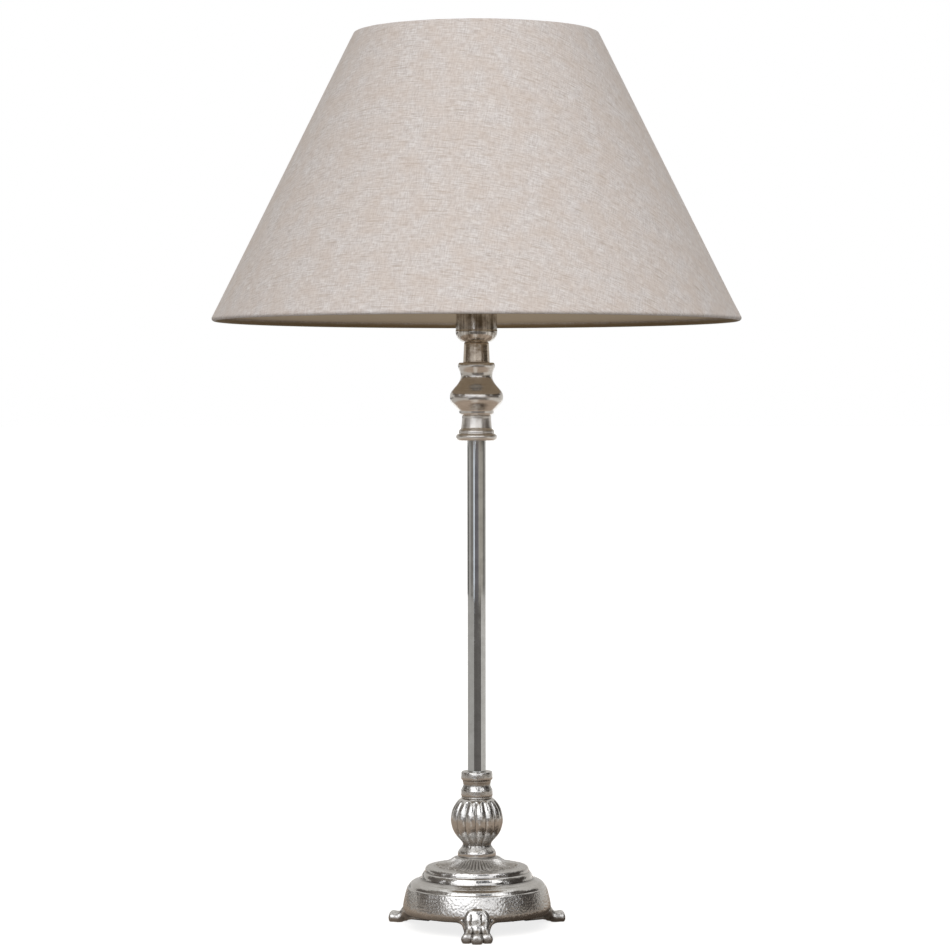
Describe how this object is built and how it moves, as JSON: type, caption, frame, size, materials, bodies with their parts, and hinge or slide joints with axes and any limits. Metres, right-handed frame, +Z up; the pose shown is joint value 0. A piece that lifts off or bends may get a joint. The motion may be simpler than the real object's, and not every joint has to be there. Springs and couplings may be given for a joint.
{
  "type": "table lamp",
  "caption": "Table lamp: nickel-plated cast foot on paws, fluted knop, slim tube, turned vase, bayonet lampholder and a lift-off tapered linen shade.",
  "frame": {"origin": "On the table under the middle of the column, at the level of the soles", "axes": "+Z up along the column, -Y to the front paw, +X to the right seen from the front"},
  "size_m": [0.4014, 0.4014, 0.6801],
  "materials": {
    "nickel_cast": "sand-cast brass, nickel-plated, hammered and lightly polished",
    "nickel_turned": "turned brass, nickel-plated and polished",
    "chrome_tube": "bright chrome-plated steel tube",
    "zinc_steel": "zinc-plated steel",
    "black_steel": "black painted steel plate",
    "brass_contact": "plain brass",
    "phenolic": "moulded phenolic",
    "white_plastic": "moulded white plastic",
    "black_plastic": "moulded black plastic",
    "brown_insulation": "wire insulation",
    "blue_insulation": "wire insulation",
    "green_insulation": "wire insulation",
    "white_wire": "white coated steel wire",
    "shade_film": "off-white shade film",
    "linen": "natural linen"
  },
  "bodies": {
    "base": {"base_dome": "nickel_cast", "foot_front": "nickel_cast", "foot_rear_right": "nickel_cast", "foot_rear_left": "nickel_cast", "foot_screws": "zinc_steel", "ballast_plate": "black_steel", "cord_bush": "black_plastic", "terminal_block": "white_plastic", "block_screws": "brass_contact", "fluted_knop": "nickel_cast", "knop_cup": "nickel_cast", "column_tube": "chrome_tube", "tube_collar": "nickel_turned", "upper_vase": "nickel_turned", "neck_sleeve": "nickel_turned", "tie_rod": "zinc_steel", "rod_washer": "zinc_steel", "earth_tag": "brass_contact", "rod_nut": "zinc_steel", "lock_nut": "zinc_steel", "live_wire": "brown_insulation", "neutral_wire": "blue_insulation", "earth_wire": "green_insulation", "lampholder_cap": "nickel_turned", "lampholder_barrel": "brass_contact", "lampholder_insulator": "phenolic", "terminal_screws": "brass_contact", "plunger_spring_left": "zinc_steel", "plunger_spring_right": "zinc_steel", "bayonet_sleeve": "brass_contact"},
    "seat": {"reducer_ring": "white_plastic"},
    "ring": {"shade_ring": "phenolic"},
    "shade": {"carrier_ring": "white_wire", "carrier_arm_rear": "white_wire", "carrier_arm_left": "white_wire", "carrier_arm_right": "white_wire", "top_wire": "white_wire", "bottom_wire": "white_wire", "shade_liner": "shade_film", "shade_cover": "linen", "top_hem": "linen", "bottom_hem": "linen"},
    "plunger_left": {"contact_plunger_left": "brass_contact"},
    "plunger_right": {"contact_plunger_right": "brass_contact"}
  },
  "joints": [
    {"name": "shade_lift", "type": "slide", "parent": "base", "child": "seat", "axis": [0, 0, 1], "range_m": [0, 0.08]},
    {"name": "shade_swivel", "type": "hinge", "parent": "seat", "child": "shade", "pos_m": [0, 0, 0.4756], "axis": [0, 0, 1], "continuous": true},
    {"name": "shade_ring_turn", "type": "hinge", "parent": "seat", "child": "ring", "pos_m": [0, 0, 0.4802], "axis": [0, 0, 1], "continuous": true},
    {"name": "contact_left", "type": "slide", "parent": "base", "child": "plunger_left", "axis": [0, 0, -1], "range_m": [0, 0.005], "stiffness_N_per_m": 1000, "springref_m": -0.001, "deforming": ["plunger_spring_left"]},
    {"name": "contact_right", "type": "slide", "parent": "base", "child": "plunger_right", "axis": [0, 0, -1], "range_m": [0, 0.005], "stiffness_N_per_m": 1000, "springref_m": -0.001, "deforming": ["plunger_spring_right"]}
  ]
}
